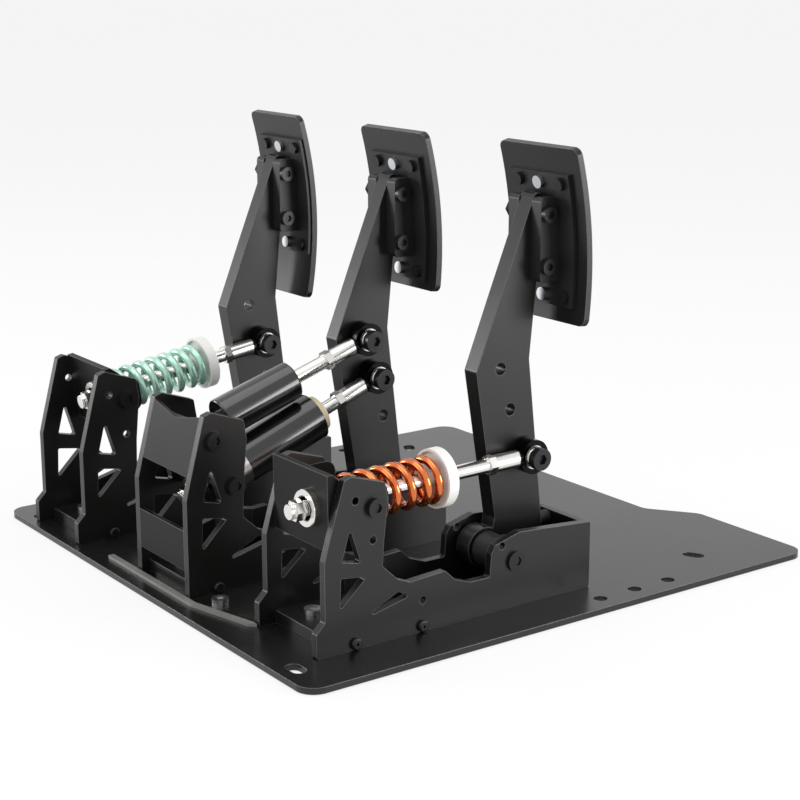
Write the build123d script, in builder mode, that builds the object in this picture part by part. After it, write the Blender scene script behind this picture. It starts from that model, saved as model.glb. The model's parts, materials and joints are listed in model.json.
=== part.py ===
from build123d import *
import math
import os

os.makedirs("parts", exist_ok=True)

# Sim racing pedal set: three pedal units on one steel base plate.
# X runs to the driver's right, Y away from the driver and Z up, in millimetres.
# The origin is the centre of the base plate's underside.

# Base plate
base_w = 400
base_d = 400
base_t = 4
base_corner_r = 12
recess_d = 24
recess_mouth_w = 200
recess_floor_w = 136
side_hole_r = 4.5
side_hole_inset = 13.5
side_hole_pitch = 29
side_hole_y = -55.5
slot_r = 4.5
slot_l = 15
rear_slot_inset_x = 31
rear_slot_inset_y = 12
front_slot_inset_x = 38
front_slot_inset_y = 68
front_slot_angle = 30

# Pedal units: places of their centre lines and of their rear edges
clutch_x = -132
brake_x = -5
throttle_x = 131
clutch_rear_inset = 34
brake_rear_inset = 16
throttle_rear_inset = 12
unit_w = 68
unit_l = 201
plate_t = 5

# Side plates: a tower at the rear and a low deck to the front
short_tower_h = 105
tall_tower_h = 118
tower_d = 44
deck_h = 43.5
foot_h = 21
corner_r = 1.5
window_r = 1.2
small_hole_r = 2.4
joggle_in = 17.5
joggle_start = 56
joggle_l = 18
# outline of the tower: shares of tower_d forward from the rear edge and of the tower's height
tower_shares = [(0, 0.543), (0.073, 0.648), (0.318, 0.986), (0.432, 1), (0.955, 0.933),
                (1, 0.829), (0.932, 0.571)]
# outline of the deck: shares of unit_l forward from the rear edge and of deck_h
deck_shares = [(0.201, 1.08), (0.254, 0.851), (0.298, 0.766), (0.428, 0.798), (0.463, 0.644),
               (0.522, 0.543), (0.597, 0.54), (0.602, 0.864), (0.617, 0.989), (0.711, 1.103),
               (1, 1), (1, 0)]
# windows in the tower: shares of tower_d and of the tower's height
window_shares = [[(0.4, 0.709), (0.27, 0.525), (0.568, 0.499)],
                 [(0.252, 0.434), (0.661, 0.41), (0.232, 0.251)],
                 [(0.5, 0.155), (1.164, 0.276), (1.377, 0.238)]]
tower_hole_shares = [(0.489, 0.86), (0.761, 0.615)]
deck_hole_shares = [(0.345, 0.457), (0.643, 0.956)]
clutch_foot_d = 6
brake_foot_d = 0
throttle_foot_d = 6

# Floor plates between the side plates, and the screws into their edges
floor_t = 8
floor_inset = 6
floor_l = 72
floor_screw_r = 2
floor_screw_grip = 8
floor_screw_u1 = 21
floor_screw_u2 = 69
screw_head_r = 3.8
screw_head_t = 2.5
socket_share = 0.5
base_screw_r = 3
base_screw_head_r = 5.5
base_screw_head_t = 3
base_screw_dx = 13
base_screw_u = 22
gap_screw_out = 14
gap_screw_u = 14

# Pedal pivots, placed from the nose of each unit
nose_l = 61
pivot_z = 34
axle_r = 5
axle_head_r = 6.5
axle_head_t = 2
nut_t = 6
bush_r = 7
bush_flange_r = 9.5
bush_flange_t = 1
spacer_r = 8
run_gap = 0.05
side_gap = 0.1
soft_gap = 0.3

# Pedal arm: a flat plate, placed by its near face to the unit's centre line
arm_t = 12
arm_near_x = -3.5
hub_r = 13
arm_h = 220
arm_fwd = 47
arm_corner_r = 4
# outline from the pivot: shares of arm_fwd towards the driver and of arm_h upwards
arm_shares = [(0.17, 0.082), (-0.17, 0.516), (0.213, 0.718), (0.76, 1), (0.93, 1),
              (0.713, 0.532), (1, 0.009), (0.8, -0.059), (0, -0.059)]
low_pin_fwd = 30
low_pin_up = 56.5
mid_pin_fwd = 19
mid_pin_up = 86.5
high_pin_fwd = 11
high_pin_up = 113.5

# Pedal pads and the brackets that hold them
pad_curve_r = 270
pad_centre_back = 215.5
pad_centre_up = 172.6
pad_top_up = 250
pad_w = 73
throttle_pad_w = 65
throttle_pad_shift = 4
pad_t = 4
pad_corner_r = 5
clutch_pad_h = 110
brake_pad_h = 106
throttle_pad_h = 132
foot_plate_t = 2.5
foot_plate_w = 54
foot_plate_low_up = 150
foot_plate_high_up = 234
cheek_t = 9.5
cheek_low_up = 166
cheek_high_up = 218
cheek_back_fwd = 33
cheek_corner_r = 3
seat_gap = 0.2
pad_screw_r = 2.5
pad_screw_head_r = 4
pad_screw_head_t = 2.5
pad_screw_pitch = 19
pad_screw_low_up = 156
pad_screw_high_up = 228
bracket_bolt_r = 3
bracket_bolt_head_r = 5
bracket_bolt_head_t = 3.5
bracket_bolt_fwd = 38
bracket_bolt_low_up = 176
bracket_bolt_high_up = 208

# Struts: all lie in one plane beside the arm
strut_x = -10.5
strut_pin_r = 4
strut_pin_head_r = 7
strut_pin_head_t = 5
eye_r = 11
eye_w = 9
ball_w = 14
ball_r = 7.2
ball_sleeve_r = 5.4
ball_gap = 0.2
neck_r = 5.5
neck_end = 30
lock_nut_r = 6.5
lock_nut_t = 5
rod_r = 4.5
end_nut_r = 6.5
end_nut_t = 6

# Trunnions at the towers
trunnion_u = 35
clutch_trunnion_z = 88
throttle_trunnion_z = 101
brake_trunnion_z = 72.5
trunnion_pin_r = 4
trunnion_head_r = 6
trunnion_head_t = 3
yoke_t = 2.6
yoke_web_t = 4
yoke_h = 46
cheek_h = 24
yoke_nose = 13
yoke_nose_r = 7
clutch_yoke_reach = 25
throttle_yoke_reach = 6
web_hole_r = 7
ring_r = 11
ring_t = 4
clutch_rod_overrun = 15
throttle_rod_overrun = 14

# Springs
spring_r = 15.5
wire_r = 2.6
clutch_cup_start = 70
throttle_cup_start = 49
cup_disc_t = 5
cup_rim_t = 2
cup_wall = 1.6
dead_coil_gap = 0.7
clutch_coils = 8
throttle_coils = 8

# Brake: elastomer tube and load cell below, damper above
tube_r = 16
tube_wall = 3.5
tube_start = 54
load_cell_t = 10
load_cell_gap = 1
trunnion_block_h = 22
trunnion_block_l = 16
trunnion_block_grip = 10
plunger_t = 4
elastomer_gap = 0.7
elastomer_count = 3
elastomer_washer_t = 2
plunger_overrun = 20
plunger_washer_r = 10
plunger_washer_t = 3
damper_pin_u = 20.6
damper_pin_z = 104
damper_r = 13
damper_wall = 3
damper_start = 62
damper_cap_t = 5
damper_tail = 19
damper_rod_gap = 0.7
piston_gap = 1.4
piston_t = 8
damper_eye_r = 6.8
damper_eye_w = 12

# Plates across the brake tower
panel_t = 3
panel_low_z = 22
panel_high_z = 48
chevron_dip = 6

# Rest stops at the nose of each unit
stop_bar_t = 5
bumper_r = 4
bumper_up = 9

# Position sensors round the pivots of the clutch and the throttle
sensor_r = 13
sensor_t = 9
magnet_r = 11
magnet_gap = 0.4

# Strip behind the units on the base plate
tie_t = 2
tie_w = 4
tie_clear = 1
tie_right_out = 33
tie_left_out = 10

clutch_rear_y = base_d / 2 - clutch_rear_inset
brake_rear_y = base_d / 2 - brake_rear_inset
throttle_rear_y = base_d / 2 - throttle_rear_inset
pivot_u = unit_l - nose_l
half_w = unit_w / 2
inner_x = half_w - plate_t
nose_x = inner_x - joggle_in
arm_far_x = arm_near_x + arm_t
floor_screw_z = base_t + floor_t / 2
joggle_slope = math.atan2(joggle_in, joggle_l)
joggle_shift = plate_t * math.tan(joggle_slope / 2)

units = {
    "clutch": (clutch_x, clutch_rear_y, short_tower_h, clutch_foot_d, clutch_pad_h, clutch_trunnion_z),
    "brake": (brake_x, brake_rear_y, tall_tower_h, brake_foot_d, brake_pad_h, brake_trunnion_z),
    "throttle": (throttle_x, throttle_rear_y, tall_tower_h, throttle_foot_d, throttle_pad_h,
                 throttle_trunnion_z),
}


def save(piece, name):
    piece.label = name
    export_step(piece, f"parts/{name}.step")


def joined(pieces):
    """Several separate solids that share one node."""
    return Compound(children=pieces)


def bar(x_start, x_end, y, z, r):
    """A round bar along X."""
    with BuildPart() as piece:
        with BuildSketch(Plane.YZ.offset(x_start)):
            with Locations((y, z)):
                Circle(r)
        extrude(amount=x_end - x_start)
    return piece.part


def sleeve(x_start, x_end, y, z, r, bore_r):
    """A round tube along X."""
    with BuildPart() as piece:
        with BuildSketch(Plane.YZ.offset(x_start)):
            with Locations((y, z)):
                Circle(r)
                Circle(bore_r, mode=Mode.SUBTRACT)
        extrude(amount=x_end - x_start)
    return piece.part


def side_screw(x_outer, toward, y, z, grip):
    """A button screw through a side plate, its head outside and a hexagon socket in it."""
    with BuildPart() as piece:
        head_plane = Plane(origin=(x_outer, y, z), x_dir=(0, 1, 0), z_dir=(-toward, 0, 0))
        with BuildSketch(head_plane):
            Circle(screw_head_r)
        extrude(amount=screw_head_t)
        fillet(piece.edges().group_by(Axis.X)[0 if toward > 0 else -1], screw_head_t * socket_share)
        with BuildSketch(head_plane):
            Circle(floor_screw_r)
        extrude(amount=-(plate_t + grip))
        with BuildSketch(head_plane.offset(screw_head_t)):
            RegularPolygon(floor_screw_r * socket_share, 6)
        extrude(amount=-screw_head_t * socket_share, mode=Mode.SUBTRACT)
    return piece.part


def base_screw(x, y, seat_z, r, head_r, head_t):
    """A cap screw with a washer, down through the base plate."""
    with BuildPart() as piece:
        with BuildSketch(Plane.XY):
            with Locations((x, y)):
                Circle(r)
        extrude(amount=seat_z)
        with BuildSketch(Plane.XY.offset(seat_z)):
            with Locations((x, y)):
                Circle(head_r)
        extrude(amount=head_t)
        with BuildSketch(Plane.XY.offset(seat_z + head_t)):
            with Locations((x, y)):
                RegularPolygon(head_r * socket_share, 6)
        extrude(amount=-head_t * socket_share, mode=Mode.SUBTRACT)
    return piece.part


# Screws through the floor plates into the base plate, and two beside the brake unit
floor_spots = [(unit[0] + side * base_screw_dx, unit[1] - base_screw_u)
               for unit in units.values() for side in (-1, 1)]
gap_spots = [(brake_x + half_w + gap_screw_out, brake_rear_y - gap_screw_u),
             (brake_x - half_w - gap_screw_out, brake_rear_y - gap_screw_u)]
base_screw_spots = floor_spots + gap_spots

# Base plate with its driver's edge set back in the middle, the holes and the slots
with BuildPart() as base_plate:
    with BuildSketch():
        with BuildLine():
            Polyline((-base_w / 2, base_d / 2), (base_w / 2, base_d / 2), (base_w / 2, -base_d / 2),
                     (recess_mouth_w / 2, -base_d / 2), (recess_floor_w / 2, recess_d - base_d / 2),
                     (-recess_floor_w / 2, recess_d - base_d / 2), (-recess_mouth_w / 2, -base_d / 2),
                     (-base_w / 2, -base_d / 2), close=True)
        make_face()
        fillet(vertices(), base_corner_r)
        for side in (-1, 1):
            with Locations((side * (base_w / 2 - side_hole_inset), side_hole_y)):
                with GridLocations(0, side_hole_pitch, 1, 3):
                    Circle(side_hole_r, mode=Mode.SUBTRACT)
            with Locations((side * (base_w / 2 - rear_slot_inset_x), base_d / 2 - rear_slot_inset_y)):
                SlotOverall(slot_l, 2 * slot_r, mode=Mode.SUBTRACT)
            with Locations((side * (base_w / 2 - front_slot_inset_x), front_slot_inset_y - base_d / 2)):
                SlotOverall(slot_l, 2 * slot_r, rotation=side * -front_slot_angle, mode=Mode.SUBTRACT)
        with Locations(*base_screw_spots):
            Circle(base_screw_r, mode=Mode.SUBTRACT)
    extrude(amount=base_t)
save(base_plate.part, "base_plate")


def side_outline(rear_y, tower_h, foot_d):
    """Outline of a side plate as (Y, Z) points from the foot up round to the nose."""
    foot = [(rear_y, base_t)]
    if foot_d:
        foot = [(rear_y + foot_d, base_t), (rear_y + foot_d, base_t + foot_h - foot_d),
                (rear_y, base_t + foot_h)]
    tower = [(rear_y - a * tower_d, base_t + h * tower_h) for a, h in tower_shares]
    deck = [(rear_y - a * unit_l, base_t + h * deck_h) for a, h in deck_shares]
    return foot + tower + deck


def side_face(rear_y, tower_h, foot_d, pins, holes):
    """The side plate's flat shape with its windows and holes, in the open sketch."""
    with BuildLine() as outline:
        Polyline(*side_outline(rear_y, tower_h, foot_d), close=True)
    make_face(outline.line)
    fillet(vertices(), corner_r)
    for window in window_shares:
        with BuildLine() as rim:
            FilletPolyline(*[(rear_y - a * tower_d, base_t + h * tower_h) for a, h in window],
                           radius=window_r, close=True)
        make_face(rim.line, mode=Mode.SUBTRACT)
    for a, h in holes:
        with Locations((rear_y - a * tower_d, base_t + h * tower_h)):
            Circle(small_hole_r, mode=Mode.SUBTRACT)
    with Locations(*[(rear_y - a * unit_l, base_t + h * deck_h) for a, h in deck_hole_shares]):
        Circle(small_hole_r, mode=Mode.SUBTRACT)
    with Locations((rear_y - floor_screw_u1, floor_screw_z), (rear_y - floor_screw_u2, floor_screw_z)):
        Circle(floor_screw_r, mode=Mode.SUBTRACT)
    for y, z, r in pins:
        with Locations((y, z)):
            Circle(r, mode=Mode.SUBTRACT)


def left_plate(x, rear_y, tower_h, foot_d, pins, holes):
    with BuildPart() as plate:
        with BuildSketch(Plane.YZ.offset(x - half_w)):
            side_face(rear_y, tower_h, foot_d, pins, holes)
        extrude(amount=plate_t)
    return plate.part


def right_plate(x, rear_y, tower_h, foot_d, pins, holes):
    """The right plate steps in beside the arm, so its plan is a joggled strip."""
    start_y = rear_y - joggle_start
    end_y = start_y - joggle_l
    nose_y = rear_y - unit_l
    back_y = rear_y + foot_d
    with BuildPart() as plate:
        with BuildSketch(Plane.XY.offset(base_t)):
            with BuildLine():
                Polyline((x + inner_x, back_y), (x + half_w, back_y), (x + half_w, start_y - joggle_shift),
                         (x + half_w - joggle_in, end_y - joggle_shift), (x + half_w - joggle_in, nose_y),
                         (x + nose_x, nose_y), (x + nose_x, end_y), (x + inner_x, start_y), close=True)
            make_face()
        extrude(amount=tower_h)
        with BuildSketch(Plane.YZ.offset(x + nose_x)):
            side_face(rear_y, tower_h, foot_d, pins, holes)
        extrude(amount=half_w - nose_x, mode=Mode.INTERSECT)
    return plate.part


def floor_plate(x, rear_y):
    with BuildPart() as plate:
        with BuildSketch(Plane.XY.offset(base_t)):
            with BuildLine():
                Polyline((x - inner_x, rear_y - floor_inset), (x + inner_x, rear_y - floor_inset),
                         (x + inner_x, rear_y - joggle_start + floor_inset / 2),
                         (x, rear_y - floor_inset - floor_l), (x - inner_x, rear_y - floor_inset - floor_l),
                         close=True)
            make_face()
        extrude(amount=floor_t)
        for spot in (floor_screw_u1, floor_screw_u2):
            with BuildSketch(Plane.YZ.offset(x - inner_x)):
                with Locations((rear_y - spot, floor_screw_z)):
                    Circle(floor_screw_r)
            extrude(amount=floor_screw_grip, mode=Mode.SUBTRACT)
        with BuildSketch(Plane.YZ.offset(x + inner_x)):
            with Locations((rear_y - floor_screw_u1, floor_screw_z)):
                Circle(floor_screw_r)
        extrude(amount=-floor_screw_grip, mode=Mode.SUBTRACT)
        with BuildSketch(Plane.XY.offset(base_t)):
            with Locations(*base_screw_spots):
                Circle(base_screw_r)
        extrude(amount=floor_t, mode=Mode.SUBTRACT)
    return plate.part


def stop_bar(x, rear_y):
    """An upright bar between the side plates at the nose."""
    nose_y = rear_y - unit_l
    with BuildPart() as piece:
        with BuildSketch(Plane.YZ.offset(x - inner_x)):
            with BuildLine():
                Polyline((nose_y, base_t), (nose_y + stop_bar_t, base_t),
                         (nose_y + stop_bar_t, base_t + deck_h), (nose_y, base_t + deck_h),
                         close=True)
            make_face()
        extrude(amount=inner_x + nose_x)
    return piece.part


def bumper(x, rear_y):
    """A rubber button on the stop bar, just clear of the arm's front edge."""
    start_y = rear_y - unit_l + stop_bar_t
    end_y = rear_y - pivot_u - arm_fwd - soft_gap
    spot = Plane(origin=(x + arm_near_x + arm_t / 2, start_y, pivot_z + bumper_up), x_dir=(1, 0, 0),
                 z_dir=(0, 1, 0))
    with BuildPart() as piece:
        with BuildSketch(spot):
            Circle(bumper_r)
        extrude(amount=end_y - start_y)
        fillet(piece.edges().group_by(Axis.Y)[-1], bumper_r / 4)
    return piece.part


def arm_plate(x, pivot_y):
    """The flat pedal arm with its hub and the strut and bracket holes."""
    with BuildPart() as arm:
        with BuildSketch(Plane.YZ.offset(x + arm_near_x)):
            with BuildLine():
                Polyline(*[(pivot_y - f * arm_fwd, pivot_z + u * arm_h) for f, u in arm_shares], close=True)
            make_face()
            fillet(vertices(), arm_corner_r)
            with Locations((pivot_y, pivot_z)):
                Circle(hub_r)
            with Locations((pivot_y, pivot_z)):
                Circle(bush_r, mode=Mode.SUBTRACT)
            for fwd, up in ((low_pin_fwd, low_pin_up), (mid_pin_fwd, mid_pin_up), (high_pin_fwd, high_pin_up)):
                with Locations((pivot_y - fwd, pivot_z + up)):
                    Circle(strut_pin_r, mode=Mode.SUBTRACT)
            for up in (bracket_bolt_low_up, bracket_bolt_high_up):
                with Locations((pivot_y - bracket_bolt_fwd, pivot_z + up)):
                    Circle(bracket_bolt_r, mode=Mode.SUBTRACT)
        extrude(amount=arm_t)
    return arm.part


def pad_arc_face(pivot_y, outer_r, inner_r, low_up, high_up):
    """A strip of the pad's curve between two heights, in the open sketch on the YZ plane."""
    centre_y = pivot_y + pad_centre_back
    centre_z = pivot_z + pad_centre_up
    low = math.asin((low_up - pad_centre_up) / pad_curve_r)
    high = math.asin((high_up - pad_centre_up) / pad_curve_r)
    middle = (low + high) / 2

    def spot(r, a):
        return (centre_y - r * math.cos(a), centre_z + r * math.sin(a))
    with BuildLine() as rim:
        ThreePointArc(spot(outer_r, low), spot(outer_r, middle), spot(outer_r, high))
        Line(spot(outer_r, high), spot(inner_r, high))
        ThreePointArc(spot(inner_r, high), spot(inner_r, middle), spot(inner_r, low))
        Line(spot(inner_r, low), spot(outer_r, low))
    make_face(rim.line)


def pad_screw_plane(x, pivot_y, up, depth):
    """A plane on the pad's curve at a height, facing the driver, sunk by depth."""
    angle = math.asin((up - pad_centre_up) / pad_curve_r)
    r = pad_curve_r - depth
    return Plane(origin=(x, pivot_y + pad_centre_back - r * math.cos(angle),
                         pivot_z + pad_centre_up + r * math.sin(angle)),
                 x_dir=(1, 0, 0), z_dir=(0, -math.cos(angle), math.sin(angle)))


pad_screw_spots = [(col * pad_screw_pitch, up) for col in (-1, 0, 1)
                   for up in (pad_screw_low_up, pad_screw_high_up)]


def pad_plate(x, pivot_y, pad_h, width, shift):
    with BuildPart() as pad:
        with BuildSketch(Plane.YZ.offset(x + shift - width / 2)):
            pad_arc_face(pivot_y, pad_curve_r, pad_curve_r - pad_t, pad_top_up - pad_h, pad_top_up)
        extrude(amount=width)
        corner_edges = pad.edges().filter_by(lambda e: abs(e.length - pad_t) < seat_gap)
        fillet(corner_edges, pad_corner_r)
        for side_x, up in pad_screw_spots:
            with BuildSketch(pad_screw_plane(x + side_x, pivot_y, up, 0)):
                Circle(pad_screw_r)
            extrude(amount=-2 * pad_t, mode=Mode.SUBTRACT)
    return pad.part


def pad_bracket(x, pivot_y):
    """Two thick cheeks that clamp the arm, on a thin curved foot behind the pad."""
    back_r = pad_curve_r - pad_t
    front_r = back_r - foot_plate_t
    centre = (pivot_y + pad_centre_back, pivot_z + pad_centre_up)
    with BuildPart() as bracket:
        with BuildSketch(Plane.YZ.offset(x - foot_plate_w / 2)):
            pad_arc_face(pivot_y, back_r, front_r, foot_plate_low_up, foot_plate_high_up)
        extrude(amount=foot_plate_w)
        for start_x in (arm_near_x - cheek_t, arm_far_x):
            with BuildSketch(Plane.YZ.offset(x + start_x)):
                with BuildLine():
                    Polyline((pivot_y - cheek_back_fwd, pivot_z + cheek_low_up),
                             (pivot_y - cheek_back_fwd, pivot_z + cheek_high_up),
                             (pivot_y - pad_curve_r / 4, pivot_z + cheek_high_up),
                             (pivot_y - pad_curve_r / 4, pivot_z + cheek_low_up), close=True)
                make_face()
                fillet(vertices().group_by(Axis.X)[-1], cheek_corner_r)
                with Locations(centre):
                    Circle(back_r - foot_plate_t / 2, mode=Mode.INTERSECT)
                for up in (bracket_bolt_low_up, bracket_bolt_high_up):
                    with Locations((pivot_y - bracket_bolt_fwd, pivot_z + up)):
                        Circle(bracket_bolt_r, mode=Mode.SUBTRACT)
            extrude(amount=cheek_t)
        for side_x, up in pad_screw_spots:
            with BuildSketch(pad_screw_plane(x + side_x, pivot_y, up, 0)):
                Circle(pad_screw_r)
            extrude(amount=-2 * pad_t - foot_plate_t, mode=Mode.SUBTRACT)
    return bracket.part


def pad_screw(x, pivot_y, up):
    """A screw from the pad's face to a domed nut behind the bracket's foot."""
    nut_plane = pad_screw_plane(x, pivot_y, up, pad_t + foot_plate_t + seat_gap)
    with BuildPart() as piece:
        with BuildSketch(pad_screw_plane(x, pivot_y, up, 0)):
            Circle(pad_screw_r)
        extrude(amount=-(pad_t + foot_plate_t + seat_gap))
        with BuildSketch(nut_plane):
            Circle(pad_screw_head_r)
        extrude(amount=-pad_screw_head_t)
    return piece.part


def cross_bolt(x_start, x_end, y, z, r, head_r, head_t, far_nut_t):
    """A bolt along X: head outside x_start, shank, and a nut outside x_end."""
    with BuildPart() as piece:
        with BuildSketch(Plane.YZ.offset(x_start - head_t)):
            with Locations((y, z)):
                Circle(head_r)
        extrude(amount=head_t)
        with BuildSketch(Plane.YZ.offset(x_start - head_t)):
            with Locations((y, z)):
                RegularPolygon(head_r * socket_share, 6)
        extrude(amount=head_t * socket_share, mode=Mode.SUBTRACT)
        with BuildSketch(Plane.YZ.offset(x_start)):
            with Locations((y, z)):
                Circle(r)
        extrude(amount=x_end - x_start)
        with BuildSketch(Plane.YZ.offset(x_end)):
            with Locations((y, z)):
                RegularPolygon(head_r, 6)
        extrude(amount=far_nut_t)
    return piece.part


def strut_plane(x, front, rear):
    """A plane square to a strut at its front pin, facing along it to the rear."""
    dy = rear[0] - front[0]
    dz = rear[1] - front[1]
    span = math.hypot(dy, dz)
    return Plane(origin=(x, front[0], front[1]), x_dir=(1, 0, 0), z_dir=(0, dy / span, dz / span))


def turned(plane, steps, bore_r=0):
    """A turned piece on a strut's axis: (start, end, radius) steps from the front pin."""
    with BuildPart() as piece:
        for start, end, r in steps:
            with BuildSketch(plane.offset(start)):
                Circle(r)
                if bore_r:
                    Circle(bore_r, mode=Mode.SUBTRACT)
            extrude(amount=end - start)
    return piece.part


def hex_on(plane, start, end, r, bore_r):
    """A hexagon nut on a strut's axis."""
    with BuildPart() as piece:
        with BuildSketch(plane.offset(start)):
            RegularPolygon(r, 6)
            Circle(bore_r, mode=Mode.SUBTRACT)
        extrude(amount=end - start)
    return piece.part


def rod_end(plane):
    """A ball-joint rod end: the eye with its neck, the ball in it and the lock nut."""
    x = plane.origin.X
    y = plane.origin.Y
    z = plane.origin.Z
    across = Plane(origin=(x, y, z))
    turn = Axis((x, y, z), (1, 0, 0))
    cavity_r = ball_r + ball_gap
    mouth_r = math.sqrt(cavity_r ** 2 - (eye_w / 2) ** 2)
    shoulder = math.sqrt(ball_r ** 2 - ball_sleeve_r ** 2)
    with BuildPart() as eye:
        with BuildSketch(across):
            with BuildLine():
                ThreePointArc((-eye_w / 2, mouth_r), (0, cavity_r), (eye_w / 2, mouth_r))
                Line((eye_w / 2, mouth_r), (eye_w / 2, eye_r))
                Line((eye_w / 2, eye_r), (-eye_w / 2, eye_r))
                Line((-eye_w / 2, eye_r), (-eye_w / 2, mouth_r))
            make_face()
        revolve(axis=turn)
        neck_start = (cavity_r + eye_r) / 2
        with BuildSketch(plane.offset(neck_start)):
            Circle(neck_r)
        extrude(amount=neck_end - neck_start)
        with BuildSketch(plane.offset(eye_r)):
            Circle(rod_r)
        extrude(amount=neck_end - eye_r, mode=Mode.SUBTRACT)
    with BuildPart() as ball:
        with BuildSketch(across):
            with BuildLine():
                Line((-ball_w / 2, strut_pin_r + run_gap), (-ball_w / 2, ball_sleeve_r))
                Line((-ball_w / 2, ball_sleeve_r), (-shoulder, ball_sleeve_r))
                ThreePointArc((-shoulder, ball_sleeve_r), (0, ball_r), (shoulder, ball_sleeve_r))
                Line((shoulder, ball_sleeve_r), (ball_w / 2, ball_sleeve_r))
                Line((ball_w / 2, ball_sleeve_r), (ball_w / 2, strut_pin_r + run_gap))
                Line((ball_w / 2, strut_pin_r + run_gap), (-ball_w / 2, strut_pin_r + run_gap))
            make_face()
        revolve(axis=turn)
    return joined([eye.part, ball.part, hex_on(plane, neck_end, neck_end + lock_nut_t, lock_nut_r, rod_r)])


def yoke(x, front, rear, reach):
    """A U-shaped bracket that swivels between the tower plates, its web across the strut."""
    plane = strut_plane(x, front, rear)
    span = math.hypot(rear[0] - front[0], rear[1] - front[1])
    out_x = inner_x - side_gap
    nose = span - yoke_nose
    web = span + reach
    plan = Plane(origin=plane.origin, x_dir=(1, 0, 0), z_dir=plane.x_dir.cross(plane.z_dir))
    with BuildPart() as piece:
        with BuildSketch(plan.offset(-yoke_h / 2)):
            with BuildLine():
                Polyline((-out_x, nose), (-out_x, web + yoke_web_t), (out_x, web + yoke_web_t),
                         (out_x, nose), (out_x - yoke_t, nose), (out_x - yoke_t, web),
                         (yoke_t - out_x, web), (yoke_t - out_x, nose), close=True)
            make_face()
        extrude(amount=yoke_h)
        side = Plane(origin=plane.origin, x_dir=plane.z_dir, z_dir=(1, 0, 0))
        rise = (yoke_h - cheek_h) / 2
        with BuildSketch(side.offset(-half_w)):
            for end in (-1, 1):
                with BuildLine():
                    Polyline((nose - rise, end * yoke_h), (nose - rise, end * cheek_h / 2),
                             (web - rise, end * cheek_h / 2), (web, end * yoke_h / 2),
                             (web, end * yoke_h), close=True)
                make_face()
        extrude(amount=unit_w, mode=Mode.SUBTRACT)
        nose_edges = piece.edges().filter_by(Axis.X).filter_by(
            lambda e: (e.center() - plane.origin).dot(plane.z_dir) < nose + side_gap)
        fillet(nose_edges, yoke_nose_r)
        with BuildSketch(Plane.YZ.offset(x - half_w)):
            with Locations(rear):
                Circle(trunnion_pin_r + run_gap)
        extrude(amount=unit_w, mode=Mode.SUBTRACT)
        with BuildSketch(plane.offset(span)):
            with Locations((strut_x, 0)):
                Circle(web_hole_r)
        extrude(amount=reach + 2 * yoke_web_t, mode=Mode.SUBTRACT)
    rod_plane = strut_plane(x + strut_x, front, rear)
    ring_start = web + yoke_web_t
    return joined([piece.part, turned(rod_plane, [(ring_start, ring_start + ring_t, ring_r)], web_hole_r)])


def trunnion_bolts(x, y, z, reach):
    """A bolt through each tower plate, in from the outside by reach."""
    pieces = []
    for side in (-1, 1):
        outer = x + side * half_w
        head = sorted((outer, outer + side * trunnion_head_t))
        shank = sorted((outer, x + side * (inner_x - reach)))
        with BuildPart() as piece:
            with BuildSketch(Plane.YZ.offset(head[0])):
                with Locations((y, z)):
                    Circle(trunnion_head_r)
            extrude(amount=trunnion_head_t)
            with BuildSketch(Plane.YZ.offset(outer + side * trunnion_head_t)):
                with Locations((y, z)):
                    RegularPolygon(trunnion_head_r * socket_share, 6)
            extrude(amount=-side * trunnion_head_t * socket_share, mode=Mode.SUBTRACT)
            with BuildSketch(Plane.YZ.offset(shank[0])):
                with Locations((y, z)):
                    Circle(trunnion_pin_r)
            extrude(amount=shank[1] - shank[0])
        pieces.append(piece.part)
    return pieces


def spring(plane, start, end, coils, name):
    """A compression spring on a strut's axis, its end coils closed, in half-turn biarcs."""
    mean_r = spring_r - wire_r
    first = start + wire_r
    last = end - wire_r
    closed = 2 * wire_r + dead_coil_gap
    halves = 2 * coils
    open_pitch = (last - first - 2 * closed) / (coils - 2)
    pitches = [closed if i < 2 or i >= halves - 2 else open_pitch for i in range(halves)]
    spots = [first]
    for pitch in pitches:
        spots.append(spots[-1] + pitch / 2)
    slopes = [pitches[0]] + [(a + b) / 2 for a, b in zip(pitches, pitches[1:])] + [pitches[-1]]

    def at(i):
        a = math.pi * i
        return plane.from_local_coords(Vector(mean_r * math.cos(a), mean_r * math.sin(a), spots[i]))

    def way(i):
        a = math.pi * i
        here = plane.from_local_coords(Vector(0, 0, 0))
        step = Vector(-mean_r * math.sin(a), mean_r * math.cos(a), slopes[i] / (2 * math.pi))
        return (plane.from_local_coords(step) - here).normalized()
    lead = wire_r / 2
    with BuildPart() as piece:
        with BuildLine() as route:
            Line(at(0) - way(0) * lead, at(0))
            for i in range(halves):
                p0, p1, t0, t1 = at(i), at(i + 1), way(i), way(i + 1)
                gap = p1 - p0
                both = t0 + t1
                a = both.dot(both) - 4
                b = -2 * gap.dot(both)
                c = gap.dot(gap)
                reach = (-b - math.sqrt(b * b - 4 * a * c)) / (2 * a)
                q0 = p0 + t0 * reach
                q1 = p1 - t1 * reach
                middle = (q0 + q1) * 0.5
                TangentArc(p0, middle, tangent=t0)
                TangentArc(middle, p1, tangent=(q1 - q0).normalized())
            Line(at(halves), at(halves) + way(halves) * lead)
        with BuildSketch(Plane(origin=at(0) - way(0) * lead, z_dir=way(0))):
            Circle(wire_r)
        sweep()
    path = route.wires()[0]
    samples = [path @ (i / (halves * 24)) for i in range(halves * 24 + 1)]
    least = min((p - q).length for i, p in enumerate(samples) for q in samples[i + 30:])
    print(name, "coils", coils, "least gap of the wire to itself", round(least - 2 * wire_r, 2), "mm",
          "volume", round(piece.part.volume), "of", round(path.length * math.pi * wire_r ** 2))
    return piece.part


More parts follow.
